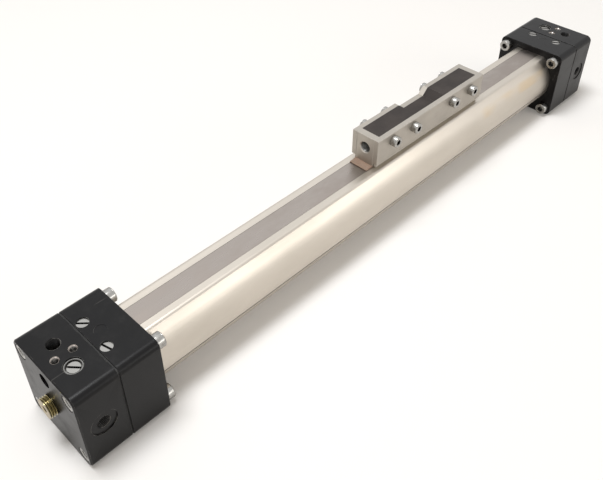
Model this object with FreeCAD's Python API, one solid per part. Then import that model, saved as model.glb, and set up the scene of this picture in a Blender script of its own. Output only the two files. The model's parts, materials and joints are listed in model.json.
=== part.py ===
import FreeCAD, Part

import math
import os

# Rodless pneumatic cylinder with a slotted barrel and two sealing bands.
# X runs along the barrel, Z is up, and the origin is the middle of the overall box at its underside.
# The near end, at -X, carries the brass nipple. Everything is in millimetres.

V = FreeCAD.Vector

# Main sizes
stroke = 300.0
bore_diameter = 32.0
head_side = 63.0
carriage_length = 135.5
end_margin = 9.5                  # bare barrel between head and carriage at each end of the stroke
parked_offset = 54.5              # the carriage stands this far past mid-stroke, towards the far end

# Head stack, from the outer end face inwards
port_head_length = 28.5
gasket_thickness = 1.0
clamp_head_length = 27.0
head_corner_radius = 3.5
head_end_chamfer = 0.8
seam_chamfer = 0.25
gasket_inset = 1.0

# Barrel section
barrel_radius = 24.5
barrel_flat_height = 25.3         # the flat top above the bore's axis
barrel_flat_half = 12.5
barrel_shoulder_radius = 3.0
barrel_flank_radius = 40.0
slot_width = 8.0
side_groove_width = 0.8
side_groove_depth = 0.7
side_groove_drop = 5.3            # groove below the bore's axis
barrel_fit = 0.1                  # gap between barrel and clamp head

# Sealing bands
band_thickness = 0.4
outer_band_width = 15.8
outer_seat_depth = 0.45
inner_band_width = 11.0
inner_seat_rise = 0.2             # inner band's seat above the top of the round bore
band_side_gap = 0.2
band_end_inset = 1.0

# Way of the bands through the carriage
outer_lift = 11.5
outer_run = 34.0
inner_dip = 6.8
inner_run = 21.5
band_pass_gap = 0.5
yoke_neck_half = 27.0

# Corner screws, their threaded bushes and the barrel's retaining rings
corner_inset = 7.0                # screw axes from the head's faces
corner_screw_diameter = 6.0
corner_screw_head_diameter = 10.0
corner_screw_head_height = 6.0
corner_socket_width = 5.0
corner_socket_depth = 3.0
corner_screw_chamfer = 0.5
corner_hole_gap = 0.3
bush_diameter = 10.4
bush_length = 14.0
bush_sink = 1.2
bush_free_thread = 8.0
bush_minor_diameter = 5.0
thread_gap = 0.05
ring_offset = 1.5                 # ring from the barrel's end
ring_width = 3.0
ring_bite = 1.3                   # depth of the ring in the barrel
ring_stand = 1.5                  # height of the ring over the barrel
ring_open_angle = 140.0
ring_room_angle = 4.0             # how much further the rings' rooms reach round

# Ports and the cushion needle in each port head
port_line = 14.0                  # side and top ports from the end face
port_diameter = 8.8
port_depth = 12.0
port_face_diameter = 17.2
port_face_depth = 0.7
top_port_offset = 10.5
top_port_depth = 14.0
top_gallery_diameter = 5.0
gallery_diameter = 6.0
axial_thread_diameter = 13.2
axial_thread_depth = 10.5
nipple_reach = 5.0
nipple_diameter = 14.0
nipple_bore = 5.2
nipple_chamfer = 0.7
small_thread_diameter = 4.2
small_thread_depth = 9.0
small_thread_sink = 0.8
small_thread_first = 8.7
small_thread_pitch = 11.6
locating_hole_diameter = 9.5
locating_hole_depth = 4.5
locating_hole_height = 21.4       # above the bore's axis
sleeve_diameter = 11.5
sleeve_length = 8.0
sleeve_sink = 0.6
sleeve_floor = 1.0
needle_head_diameter = 7.8
needle_head_height = 5.2
needle_head_sink = 0.9            # below the sleeve's rim
needle_stem_diameter = 4.0
needle_stem_room = 0.3            # around the stem, in the head
needle_stem_length = 15.0
needle_tip_length = 1.6
needle_lift = 0.45                # point above the shoulder round its seat
needle_tip_radius = 1.2
needle_seat_diameter = 3.0
slot_cut_width = 1.4
slot_cut_depth = 1.5
needle_slot_turn = -48.0
running_gap = 0.05
cut_margin = 1.0                  # how far a cut runs out past an open face
seat_gap = 0.05

# Spigot and its cushion seal
spigot_seat_depth = 10.0
spigot_reach = 22.0               # inside the barrel, from the gasket
spigot_chamber_diameter = 14.0
spigot_floor = 5.5
spigot_bore_gap = 0.1
cushion_seal_length = 4.0
cushion_seal_diameter = 17.0
cushion_gap = 0.1

# Band clamp in each clamp head
clamp_screw_diameter = 7.7
clamp_screw_spacing = 24.4
clamp_screw_inset = 4.8           # screw axis from the seam face
clamp_screw_sink = 0.8
clamp_slot_turns = (-75.0, -44.0)   # right screw, left screw
clamp_bar_width = 8.0
clamp_bar_height = 2.3
clamp_bar_side = 0.3
clamp_bar_gap = 0.1
clamp_bar_half_length = 16.5
mould_mark_diameter = 8.0
mould_mark_depth = 0.15
mould_mark_inset = 9.0

# Pistons, their rings and the cushion noses
piston_start = 53.0               # inner face of each piston, from the carriage's middle
piston_gap = 0.2
piston_top_gap = 0.2              # piston below the inner band
stop_gap = 0.5
seal_width = 3.0
seal_gap = 0.05
seal_depth = 2.8
seal_inset = 8.0                  # from the piston's outer face
wear_ring_width = 5.0
wear_ring_depth = 1.6
wear_ring_inset = 17.5
nose_diameter = 12.0
nose_length = 18.0
nose_shank_diameter = 8.0
nose_shank_in_yoke = 14.0
nose_hole_rest = 1.0              # hole past the shank's end
nose_tip_chamfer = 1.5
yoke_radius = 13.5
neck_side_gap = 0.2
tunnel_side_gap = 0.4

# Carriage above the barrel
carriage_ride = 3.9               # plates' lower edge above the barrel's flat top
plate_height = 21.3
plate_thickness = 4.3
channel_width = 16.4              # between the side plates
plate_edge_chamfer = 0.5
end_plate_chamfer = 0.25
end_plate_thickness = 5.6
end_plate_lift = 2.4              # end plate's lower edge below the side plates'
core_gap = 0.05
recess_length = 37.0
recess_depth = 5.5
side_screw_diameter = 5.0
side_screw_head_diameter = 8.5
side_screw_head_height = 5.0
side_socket_width = 4.0
side_socket_depth = 2.5
side_screw_chamfer = 0.45
side_screw_height = 14.6          # above the plates' lower edge
side_screw_first = 25.0
side_screw_pitch = 25.0
side_screw_in_core = 5.2
side_screw_hole_gap = 0.2
load_thread_diameter = 8.5
load_thread_depth = 14.0
load_thread_height = 10.7         # above the plates' lower edge
load_thread_sink = 0.7
flange_lift = 0.3                 # yoke flange above the barrel's flat
flange_band_gap = 0.3
dowel_diameter = 3.0
dowel_spacing = 40.0
dowel_in_flange = 5.0
dowel_in_plate = 2.5
dowel_height = 2.4                # above the plates' lower edge
wiper_reach = 6.5
wiper_tip_thickness = 0.6
wiper_band_gap = 0.2
shoe_width = 2.0
shoe_gap = 0.15
shoe_end_inset = 1.8

# Places that follow from the sizes
axis_height = head_side / 2
corner_pitch = head_side - 2 * corner_inset
bore_radius = bore_diameter / 2
ring_inner_radius = barrel_radius - ring_bite
ring_outer_radius = barrel_radius + ring_stand
head_length = port_head_length + gasket_thickness + clamp_head_length
body_length = stroke + carriage_length + 2 * end_margin + 2 * head_length
near_face = (nipple_reach - body_length) / 2
far_face = near_face + body_length
seam_line = port_head_length + gasket_thickness
carriage_middle = near_face + body_length / 2 + parked_offset
barrel_top = axis_height + barrel_flat_height
outer_seat_height = barrel_top - outer_seat_depth
inner_seat_height = axis_height + bore_radius + inner_seat_rise
carriage_bottom = barrel_top + carriage_ride
carriage_top = carriage_bottom + plate_height
carriage_half = carriage_length / 2
channel_half = channel_width / 2
core_half_width = channel_half - core_gap
core_half_length = carriage_half - end_plate_thickness
spigot_end = seam_line + spigot_reach
piston_end = head_length + end_margin + carriage_half - spigot_end - stop_gap
piston_radius = bore_radius - piston_gap
inner_band_underside = inner_seat_height - band_thickness
flange_top = outer_seat_height + outer_lift - flange_band_gap
corners = [(side * corner_pitch / 2, axis_height + up * corner_pitch / 2) for side in (-1, 1) for up in (-1, 1)]


# Plain solids
def block(x, y, z):
    return Part.makeBox(x[1] - x[0], y[1] - y[0], z[1] - z[0], V(x[0], y[0], z[0]))


def rod_along_x(x, y, z, diameter):
    return Part.makeCylinder(diameter / 2, x[1] - x[0], V(x[0], y, z), V(1, 0, 0))


def rod_along_y(x, y, z, diameter):
    return Part.makeCylinder(diameter / 2, y[1] - y[0], V(x, y[0], z), V(0, 1, 0))


def rod_along_z(x, y, z, diameter):
    return Part.makeCylinder(diameter / 2, z[1] - z[0], V(x, y, z[0]), V(0, 0, 1))


def countersink_along_z(x, y, top, diameter, depth):
    return Part.makeCone(diameter / 2, diameter / 2 + depth, depth, V(x, y, top - depth), V(0, 0, 1))


def fused(first, *others):
    return first.fuse(list(others)).removeSplitter()


def edges_on_x(shape, x):
    def lies_on_it(edge):
        box = edge.BoundBox
        return box.XLength < 1e-4 and abs(box.XMin - x) < 1e-4
    return [edge for edge in shape.Edges if lies_on_it(edge)]


def rounded_square(x, half, radius):
    """Square bar along X with rounded corners, centred on the bore's axis."""
    bar = block(x, (-half, half), (axis_height - half, axis_height + half))
    long_edges = [edge for edge in bar.Edges if edge.BoundBox.XLength > 0.5 * (x[1] - x[0])]
    return bar.makeFillet(radius, long_edges)


def hexagon_along_x(x, y, z, across_flats):
    corner = across_flats / math.sqrt(3)
    points = [V(x[0], y + corner * math.cos(a), z + corner * math.sin(a))
              for a in [math.radians(60 * k) for k in range(7)]]
    return Part.Face(Part.makePolygon(points)).extrude(V(x[1] - x[0], 0, 0))


def ring_sector(x, inner, outer, open_angle):
    """Ring round the bore's axis, open at the top by open_angle."""
    start = 90 + open_angle / 2
    profile = Part.makePolygon([V(x[0], inner, 0), V(x[1], inner, 0), V(x[1], outer, 0), V(x[0], outer, 0),
                                V(x[0], inner, 0)])
    sector = Part.Face(profile).revolve(V(0, 0, 0), V(1, 0, 0), 360 - open_angle)
    sector.rotate(V(0, 0, 0), V(1, 0, 0), start)
    sector.translate(V(0, 0, axis_height))
    return sector


def at_head(shape, end):
    """Moves a head piece, modelled with its end face at x = 0, to the near or the far end."""
    placed = shape.copy()
    if end == "far":
        placed.rotate(V(0, 0, 0), V(0, 0, 1), 180)
        placed.translate(V(far_face, 0, 0))
    else:
        placed.translate(V(near_face, 0, 0))
    return placed


def at_carriage(shape, end="far"):
    """Moves a carriage piece, modelled about x = 0 and towards +X, to its place."""
    placed = shape.copy()
    if end == "near":
        placed.rotate(V(0, 0, 0), V(0, 0, 1), 180)
    placed.translate(V(carriage_middle, 0, 0))
    return placed


# Barrel
def barrel_outline(x, grow):
    """Round section with a raised flat top, joined by slightly bowed flanks that touch both arcs."""
    big = barrel_radius + grow
    small = barrel_shoulder_radius + grow
    bow = barrel_flank_radius + grow
    centre_z = barrel_flat_height - barrel_shoulder_radius
    distance = math.hypot(barrel_flat_half, centre_z)
    from_axis = bow - big
    from_shoulder = bow - small
    bend = (from_shoulder ** 2 - distance ** 2 - from_axis ** 2) / (2 * from_axis * distance)
    low = math.atan2(centre_z, barrel_flat_half) - math.acos(bend)
    bow_y = -from_axis * math.cos(low)
    bow_z = -from_axis * math.sin(low)
    high = math.atan2(centre_z - bow_z, barrel_flat_half - bow_y)

    def arc(centre_y, centre_z, radius, angles, side):
        points = [V(x, side * (centre_y + radius * math.cos(a)), axis_height + centre_z + radius * math.sin(a))
                  for a in (angles[0], sum(angles) / 2, angles[1])]
        return Part.Arc(*points).toShape()

    top = math.pi / 2
    bottom = -math.pi / 2
    edges = [Part.makeLine(V(x, -barrel_flat_half, axis_height + centre_z + small),
                           V(x, barrel_flat_half, axis_height + centre_z + small))]
    for side in (-1, 1):
        edges += [arc(barrel_flat_half, centre_z, small, (top, high), side),
                  arc(bow_y, bow_z, bow, (high, low), side),
                  arc(0, 0, big, (low, bottom), side)]
    return Part.Face(Part.Wire(Part.sortEdges(edges)[0]))


def barrel_tube():
    x = (near_face + seam_line, far_face - seam_line)
    length = x[1] - x[0]
    tube = barrel_outline(x[0], 0).extrude(V(length, 0, 0))
    slot_half = slot_width / 2
    outer_half = outer_band_width / 2 + band_side_gap
    inner_half = inner_band_width / 2 + band_side_gap
    cuts = [rod_along_x(x, 0, axis_height, bore_diameter),
            block(x, (-slot_half, slot_half), (axis_height, barrel_top + cut_margin)),
            block(x, (-outer_half, outer_half), (outer_seat_height, barrel_top + cut_margin)),
            block(x, (-inner_half, inner_half), (axis_height, inner_seat_height))]
    drop_angle = math.degrees(math.asin(side_groove_drop / barrel_radius))
    half = side_groove_width / 2
    for side in (0, 1):
        groove = block(x, (barrel_radius - side_groove_depth, barrel_radius + cut_margin), (-half, half))
        groove.rotate(V(0, 0, 0), V(1, 0, 0), -drop_angle)
        groove.rotate(V(0, 0, 0), V(0, 0, 1), 180 * side)
        if side:
            groove.translate(V(x[0] + x[1], 0, 0))
        groove.translate(V(0, 0, axis_height))
        cuts.append(groove)
    for end in ("near", "far"):
        start = seam_line + ring_offset
        groove = ring_sector((start - running_gap, start + ring_width + running_gap),
                             ring_inner_radius - seat_gap, barrel_radius + barrel_shoulder_radius,
                             ring_open_angle - ring_room_angle)
        cuts.append(at_head(groove, end))
    return tube.cut(cuts)


# Sealing bands
def parting_line(base, lift, run, offset, x):
    """Edges of a line that leaves base by lift over run, each side of the flat over the yoke.

    The line is moved by offset along its upward normal, and runs from x[0] to x[1] about the carriage.
    """
    sign = math.copysign(1, lift)
    height = abs(lift)
    bend = (run * run + height * height) / (4 * height)
    turn = math.asin(run / (2 * bend))
    flat = yoke_neck_half
    shift = sign * offset

    def first_arc(angle, side):
        radius = bend - shift
        height_here = bend - radius * math.cos(angle)
        return V(side * (flat + run - radius * math.sin(angle)), 0, base + sign * height_here)

    def second_arc(angle, side):
        radius = bend + shift
        height_here = height - bend + radius * math.cos(angle)
        return V(side * (flat + radius * math.sin(angle)), 0, base + sign * height_here)

    low = base + offset
    high = base + lift + offset
    return [Part.makeLine(V(x[0], 0, low), V(-flat - run, 0, low)),
            Part.Arc(first_arc(0, -1), first_arc(turn / 2, -1), first_arc(turn, -1)).toShape(),
            Part.Arc(second_arc(turn, -1), second_arc(turn / 2, -1), second_arc(0, -1)).toShape(),
            Part.makeLine(V(-flat, 0, high), V(flat, 0, high)),
            Part.Arc(second_arc(0, 1), second_arc(turn / 2, 1), second_arc(turn, 1)).toShape(),
            Part.Arc(first_arc(turn, 1), first_arc(turn / 2, 1), first_arc(0, 1)).toShape(),
            Part.makeLine(V(flat + run, 0, low), V(x[1], 0, low))]


def strip_solid(base, lift, run, offsets, x, half_width):
    """Solid between two such lines, half_width to each side of the middle plane."""
    lower = parting_line(base, lift, run, offsets[0], x)
    upper = parting_line(base, lift, run, offsets[1], x)
    ends = [Part.makeLine(V(end, 0, base + offsets[0]), V(end, 0, base + offsets[1])) for end in x]
    face = Part.Face(Part.Wire(Part.sortEdges(lower + upper + ends)[0]))
    face.translate(V(0, -half_width, 0))
    return face.extrude(V(0, 2 * half_width, 0))


def outer_passage(offsets, half_width):
    reach = carriage_half + end_margin
    return strip_solid(outer_seat_height, outer_lift, outer_run, offsets, (-reach, reach), half_width)


def inner_passage(offsets, half_width):
    reach = piston_end + end_margin
    return strip_solid(inner_band_underside, -inner_dip, inner_run, offsets, (-reach, reach), half_width)


def band_ends():
    inset = seam_line + band_end_inset
    return near_face + inset - carriage_middle, far_face - inset - carriage_middle


def outer_band():
    return at_carriage(strip_solid(outer_seat_height, outer_lift, outer_run, (0, band_thickness),
                                   band_ends(), outer_band_width / 2))


def inner_band():
    return at_carriage(strip_solid(inner_band_underside, -inner_dip, inner_run, (0, band_thickness),
                                   band_ends(), inner_band_width / 2))


# Port head and what is set in it
def port_head():
    length = port_head_length
    half = head_side / 2
    head = rounded_square((0, length), half, head_corner_radius)
    head = head.makeChamfer(head_end_chamfer, edges_on_x(head, 0))
    head = head.makeChamfer(seam_chamfer, edges_on_x(head, length))
    top = head_side
    gallery_half = half - port_depth
    cuts = [rod_along_x((length - spigot_seat_depth, length), 0, axis_height, bore_diameter),
            rod_along_x((0, axial_thread_depth), 0, axis_height, axial_thread_diameter),
            rod_along_x((axial_thread_depth, length), 0, axis_height, gallery_diameter),
            rod_along_y(port_line, (-gallery_half, gallery_half), axis_height, gallery_diameter),
            rod_along_x((0, locating_hole_depth), 0, axis_height + locating_hole_height,
                        locating_hole_diameter)]
    for side in (-1, 1):
        depth = sorted((side * gallery_half, side * half))
        face = sorted((side * (half - port_face_depth), side * half))
        cuts.append(rod_along_y(port_line, depth, axis_height, port_diameter))
        cuts.append(rod_along_y(port_line, face, axis_height, port_face_diameter))
    cuts.append(rod_along_z(port_line, top_port_offset, (top - top_port_depth, top), port_diameter))
    cuts.append(rod_along_z(port_line, top_port_offset, (axis_height, top), top_gallery_diameter))
    sleeve_foot = top - sleeve_sink - sleeve_length
    stem_foot = needle_foot() - needle_lift
    stem_room = needle_stem_diameter + 2 * needle_stem_room
    needle_line = (port_line, -top_port_offset)
    cuts.append(rod_along_z(*needle_line, (sleeve_foot, top), sleeve_diameter + 2 * seat_gap))
    cuts.append(rod_along_z(*needle_line, (stem_foot, top), stem_room))
    cuts.append(rod_along_z(*needle_line, (axis_height, top), needle_seat_diameter))
    for x in (small_thread_first, small_thread_first + small_thread_pitch):
        cuts.append(rod_along_z(x, 0, (top - small_thread_depth, top), small_thread_diameter))
        cuts.append(countersink_along_z(x, 0, top, small_thread_diameter, small_thread_sink))
    for y, z in corners:
        cuts.append(rod_along_x((0, bush_sink + bush_length), y, z, bush_diameter + 2 * seat_gap))
        cuts.append(rod_along_x((0, length), y, z, corner_screw_diameter + 2 * corner_hole_gap))
    return head.cut(cuts)


def thread_bushes():
    bushes = []
    end = bush_sink + bush_length
    free_end = bush_sink + bush_free_thread
    for y, z in corners:
        bush = rod_along_x((bush_sink, end), y, z, bush_diameter)
        thread = rod_along_x((bush_sink, end), y, z, bush_minor_diameter)
        screw_room = rod_along_x((free_end, end), y, z, corner_screw_diameter + 2 * thread_gap)
        bushes.append(bush.cut([thread, screw_room]))
    return Part.makeCompound(bushes)


def needle_foot():
    """Height of the needle's point."""
    head_top = head_side - sleeve_sink - needle_head_sink
    return head_top - needle_head_height - needle_stem_length


def needle_sleeve():
    foot = head_side - sleeve_sink - sleeve_length
    rim = head_side - sleeve_sink
    centre = (port_line, -top_port_offset)
    sleeve = rod_along_z(*centre, (foot, rim), sleeve_diameter)
    room = rod_along_z(*centre, (foot + sleeve_floor, rim), needle_head_diameter + 2 * running_gap)
    stem_room = rod_along_z(*centre, (foot, rim), needle_stem_diameter + 2 * running_gap)
    return sleeve.cut([room, stem_room])


def cushion_needle():
    head_top = head_side - sleeve_sink - needle_head_sink
    head_foot = head_top - needle_head_height
    foot = needle_foot()
    centre = (port_line, -top_port_offset)
    head = rod_along_z(*centre, (head_foot, head_top), needle_head_diameter)
    stem = rod_along_z(*centre, (foot + needle_tip_length, head_foot), needle_stem_diameter)
    tip = Part.makeCone(needle_tip_radius, needle_stem_diameter / 2, needle_tip_length, V(*centre, foot))
    half = slot_cut_width / 2
    reach = needle_head_diameter
    slot = block((port_line - reach, port_line + reach), (-top_port_offset - half, -top_port_offset + half),
                 (head_top - slot_cut_depth, head_top + cut_margin))
    slot.rotate(V(*centre, 0), V(0, 0, 1), needle_slot_turn)
    return fused(head, stem, tip).cut(slot)


def brass_nipple():
    outside = rod_along_x((-nipple_reach, 0), 0, axis_height, nipple_diameter)
    outside = outside.makeChamfer(nipple_chamfer, edges_on_x(outside, -nipple_reach))
    inside = rod_along_x((0, axial_thread_depth), 0, axis_height, axial_thread_diameter - 2 * thread_gap)
    way_through = rod_along_x((-nipple_reach, axial_thread_depth), 0, axis_height, nipple_bore)
    return fused(outside, inside).cut(way_through)


def spigot():
    start = port_head_length - spigot_seat_depth
    body = rod_along_x((start, spigot_end), 0, axis_height, bore_diameter - 2 * spigot_bore_gap)
    flat = inner_band_underside - seat_gap
    reach = bore_radius
    cuts = [block((seam_line, spigot_end), (-reach, reach), (flat, flat + reach)),
            rod_along_x((start, spigot_end), 0, axis_height, gallery_diameter),
            rod_along_x((start + spigot_floor, spigot_end), 0, axis_height, spigot_chamber_diameter),
            rod_along_x((spigot_end - cushion_seal_length, spigot_end), 0, axis_height,
                        cushion_seal_diameter + 2 * seat_gap)]
    return body.cut(cuts)


def cushion_seal():
    x = (spigot_end - cushion_seal_length, spigot_end)
    lip = nose_diameter + 2 * cushion_gap
    return rod_along_x(x, 0, axis_height, cushion_seal_diameter).cut(rod_along_x(x, 0, axis_height, lip))


def gasket():
    x = (port_head_length, seam_line)
    sheet = rounded_square(x, head_side / 2 - gasket_inset, head_corner_radius - gasket_inset)
    cuts = [rod_along_x(x, 0, axis_height, bore_diameter + 2 * corner_hole_gap)]
    for y, z in corners:
        cuts.append(rod_along_x(x, y, z, corner_screw_diameter + 2 * corner_hole_gap))
    return sheet.cut(cuts)


# Clamp head and what is set in it
def clamp_head():
    x = (seam_line, head_length)
    half = head_side / 2
    head = rounded_square(x, half, head_corner_radius)
    for end in x:
        head = head.makeChamfer(seam_chamfer, edges_on_x(head, end))
    bar_half = clamp_bar_half_length + clamp_bar_gap
    bar_end = seam_line + clamp_bar_side + clamp_bar_width + clamp_bar_gap
    cuts = [barrel_outline(x[0], barrel_fit).extrude(V(clamp_head_length, 0, 0)),
            ring_sector((x[0], x[0] + ring_offset + ring_width + running_gap), ring_inner_radius,
                        ring_outer_radius + clamp_bar_gap, ring_open_angle - ring_room_angle),
            block((x[0], bar_end), (-bar_half, bar_half), (barrel_top, clamp_bar_top())),
            rod_along_z(x[0] + mould_mark_inset, 0, (head_side - mould_mark_depth, head_side),
                        mould_mark_diameter)]
    for y, z in corners:
        cuts.append(rod_along_x(x, y, z, corner_screw_diameter + 2 * corner_hole_gap))
    for side in (-1, 1):
        y = side * clamp_screw_spacing / 2
        cuts.append(rod_along_z(x[0] + clamp_screw_inset, y, (barrel_top, head_side),
                                clamp_screw_diameter + 2 * thread_gap))
    return head.cut(cuts)


def clamp_bar_foot():
    return max(barrel_top, outer_seat_height + band_thickness) + clamp_bar_gap


def clamp_bar_top():
    return clamp_bar_foot() + clamp_bar_height


def band_clamp_bar():
    start = seam_line + clamp_bar_side
    half = clamp_bar_half_length
    return block((start, start + clamp_bar_width), (-half, half), (clamp_bar_foot(), clamp_bar_top()))


def band_clamp_screws():
    screws = []
    x = seam_line + clamp_screw_inset
    top = head_side - clamp_screw_sink
    half = slot_cut_width / 2
    reach = clamp_screw_diameter
    for side, turn in zip((-1, 1), clamp_slot_turns):
        y = side * clamp_screw_spacing / 2
        screw = rod_along_z(x, y, (clamp_bar_top(), top), clamp_screw_diameter)
        slot = block((x - reach, x + reach), (y - half, y + half), (top - slot_cut_depth, top + cut_margin))
        slot.rotate(V(x, y, 0), V(0, 0, 1), turn)
        screws.append(screw.cut(slot))
    return Part.makeCompound(screws)


def socket_screw_along_x(x, y, z):
    """Cap screw whose head stands on x[1] and whose thread ends at x[0]."""
    tip, seat = x
    top = seat + corner_screw_head_height
    head = rod_along_x((seat, top), y, z, corner_screw_head_diameter)
    head = head.makeChamfer(corner_screw_chamfer, edges_on_x(head, top))
    shank = rod_along_x((tip, seat), y, z, corner_screw_diameter)
    socket = hexagon_along_x((top - corner_socket_depth, top), y, z, corner_socket_width)
    return fused(head, shank).cut(socket)


def head_screws():
    tip = bush_sink + bush_free_thread + thread_gap
    return Part.makeCompound([socket_screw_along_x((tip, head_length), y, z) for y, z in corners])


def retaining_ring():
    start = seam_line + ring_offset
    return ring_sector((start, start + ring_width), ring_inner_radius, ring_outer_radius, ring_open_angle)


# Pistons and yoke
def piston_blank(x, radius):
    """Disc inside the bore, with a flat that leaves room for the inner band."""
    disc = rod_along_x(x, 0, axis_height, 2 * radius)
    flat = inner_band_underside - piston_top_gap
    return disc.cut(block(x, (-radius, radius), (flat, flat + radius)))


def ring_in_piston(inset, width, depth, gap):
    end = piston_end - inset
    ring = piston_blank((end - width, end), bore_radius - gap)
    return ring.cut(rod_along_x((end - width, end), 0, axis_height, 2 * (bore_radius - depth)))


def piston():
    body = piston_blank((piston_start, piston_end), piston_radius)
    for inset, width, depth in ((seal_inset, seal_width, seal_depth),
                                (wear_ring_inset, wear_ring_width, wear_ring_depth)):
        end = piston_end - inset
        room = rod_along_x((end - width, end), 0, axis_height, bore_diameter)
        root = rod_along_x((end - width, end), 0, axis_height, 2 * (bore_radius - depth - seat_gap))
        body = body.cut(room.cut(root))
    bolt_room = rod_along_x((piston_start, piston_end), 0, axis_height, nose_shank_diameter + 2 * seat_gap)
    return body.cut([bolt_room, inner_passage((-band_pass_gap, bore_radius), bore_radius)])


def piston_seal():
    return ring_in_piston(seal_inset, seal_width, seal_depth, seal_gap)


def wear_ring():
    return ring_in_piston(wear_ring_inset, wear_ring_width, wear_ring_depth, seal_gap)


def cushion_nose():
    nose = rod_along_x((piston_end, piston_end + nose_length), 0, axis_height, nose_diameter)
    nose = nose.makeChamfer(nose_tip_chamfer, edges_on_x(nose, piston_end + nose_length))
    shank = rod_along_x((piston_start - nose_shank_in_yoke, piston_end), 0, axis_height, nose_shank_diameter)
    return fused(nose, shank)


def piston_yoke():
    neck_half = slot_width / 2 - neck_side_gap
    flat = yoke_neck_half
    neck = block((-flat, flat), (-neck_half, neck_half), (axis_height, barrel_top + flange_lift))
    flange = block((-flat, flat), (-channel_half, channel_half), (barrel_top + flange_lift, flange_top))
    shaft = rod_along_x((-piston_start, piston_start), 0, axis_height, 2 * yoke_radius)
    yoke = fused(shaft, neck, flange)
    tunnel_half = inner_band_width / 2 + tunnel_side_gap
    tunnel = inner_passage((-band_pass_gap, band_thickness + band_pass_gap), tunnel_half)
    cuts = [tunnel]
    for side in (-1, 1):
        ramp = block(sorted((side * flat, side * piston_start)), (-yoke_radius, yoke_radius),
                     (axis_height, axis_height + bore_diameter))
        cuts.append(ramp.common(inner_passage((-band_pass_gap, bore_radius), yoke_radius)))
        bolt = sorted((side * (piston_start - nose_shank_in_yoke - nose_hole_rest), side * piston_start))
        cuts.append(rod_along_x(bolt, 0, axis_height, nose_shank_diameter + 2 * seat_gap))
    for x, side in dowel_places():
        y = sorted((side * (channel_half - dowel_in_flange), side * channel_half))
        cuts.append(rod_along_y(x, y, dowel_line(), dowel_diameter + 2 * seat_gap))
    return yoke.cut(cuts)


# Carriage
def dowel_line():
    return carriage_bottom + dowel_height


def dowel_places():
    return [(along * dowel_spacing / 2, side) for along in (-1, 1) for side in (-1, 1)]


def yoke_dowels():
    pins = []
    for x, side in dowel_places():
        y = sorted((side * (channel_half - dowel_in_flange), side * (channel_half + dowel_in_plate)))
        pins.append(rod_along_y(x, y, dowel_line(), dowel_diameter))
    return Part.makeCompound(pins)


def recess_cut(y):
    """Trapezoid across the carriage's top, with sides at 45 degrees."""
    half = recess_length / 2
    floor = carriage_top - recess_depth
    points = [V(-half, y[0], carriage_top), V(-half + recess_depth, y[0], floor),
              V(half - recess_depth, y[0], floor), V(half, y[0], carriage_top), V(-half, y[0], carriage_top)]
    return Part.Face(Part.makePolygon(points)).extrude(V(0, y[1] - y[0], 0))


def side_screw_places():
    return [along * (side_screw_first + k * side_screw_pitch) for along in (-1, 1) for k in (0, 1)]


def side_screw_line():
    return carriage_bottom + side_screw_height


def load_thread(x, diameter):
    return rod_along_x(x, 0, carriage_bottom + load_thread_height, diameter)


def carriage_core():
    half = core_half_width
    core = block((-core_half_length, core_half_length), (-half, half), (outer_seat_height, carriage_top))
    under = outer_passage((-2 * outer_lift, band_thickness + band_pass_gap), channel_half)
    cuts = [under, recess_cut((-half, half))]
    for side in (-1, 1):
        start = carriage_half - load_thread_depth
        cuts.append(load_thread(sorted((side * start, side * core_half_length)), load_thread_diameter))
        for x in side_screw_places():
            y = sorted((side * (half - side_screw_in_core), side * half))
            cuts.append(rod_along_y(x, y, side_screw_line(), side_screw_diameter + 2 * thread_gap))
    return core.cut(cuts)


def end_plate():
    x = (core_half_length, carriage_half)
    plate = block(x, (-core_half_width, core_half_width), (carriage_bottom - end_plate_lift, carriage_top))
    plate = plate.makeChamfer(end_plate_chamfer, edges_on_x(plate, x[1]))
    radius = load_thread_diameter / 2
    middle = V(x[1] - load_thread_sink, 0, carriage_bottom + load_thread_height)
    sink = Part.makeCone(radius, radius + load_thread_sink, load_thread_sink, middle, V(1, 0, 0))
    return plate.cut([load_thread(x, load_thread_diameter), sink])


def side_plate(side, notched):
    y = sorted((side * channel_half, side * (channel_half + plate_thickness)))
    plate = block((-carriage_half, carriage_half), y, (carriage_bottom, carriage_top))
    outer = side * (channel_half + plate_thickness)
    rim = [edge for edge in plate.Edges
           if edge.BoundBox.YLength < 1e-4 and abs(edge.BoundBox.YMin - outer) < 1e-4]
    plate = plate.makeChamfer(plate_edge_chamfer, rim)
    cuts = []
    for x in side_screw_places():
        cuts.append(rod_along_y(x, y, side_screw_line(), side_screw_diameter + 2 * side_screw_hole_gap))
    for x, dowel_side in dowel_places():
        if dowel_side == side:
            reach = sorted((side * channel_half, side * (channel_half + dowel_in_plate)))
            cuts.append(rod_along_y(x, reach, dowel_line(), dowel_diameter + 2 * seat_gap))
    if notched:
        cuts.append(recess_cut(y))
    return plate.cut(cuts)


def side_screws(side):
    """Cap screws through one side plate into the core."""
    screws = []
    seat = channel_half + plate_thickness
    tip = core_half_width - side_screw_in_core + thread_gap
    top = seat + side_screw_head_height
    for x in side_screw_places():
        head = rod_along_x((seat, top), 0, 0, side_screw_head_diameter)
        head = head.makeChamfer(side_screw_chamfer, edges_on_x(head, top))
        shank = rod_along_x((tip, seat), 0, 0, side_screw_diameter)
        socket = hexagon_along_x((top - side_socket_depth, top), 0, 0, side_socket_width)
        screw = fused(head, shank).cut(socket)
        screw.rotate(V(0, 0, 0), V(0, 0, 1), 90 * side)
        screw.translate(V(x, 0, side_screw_line()))
        screws.append(screw)
    return Part.makeCompound(screws)


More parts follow.
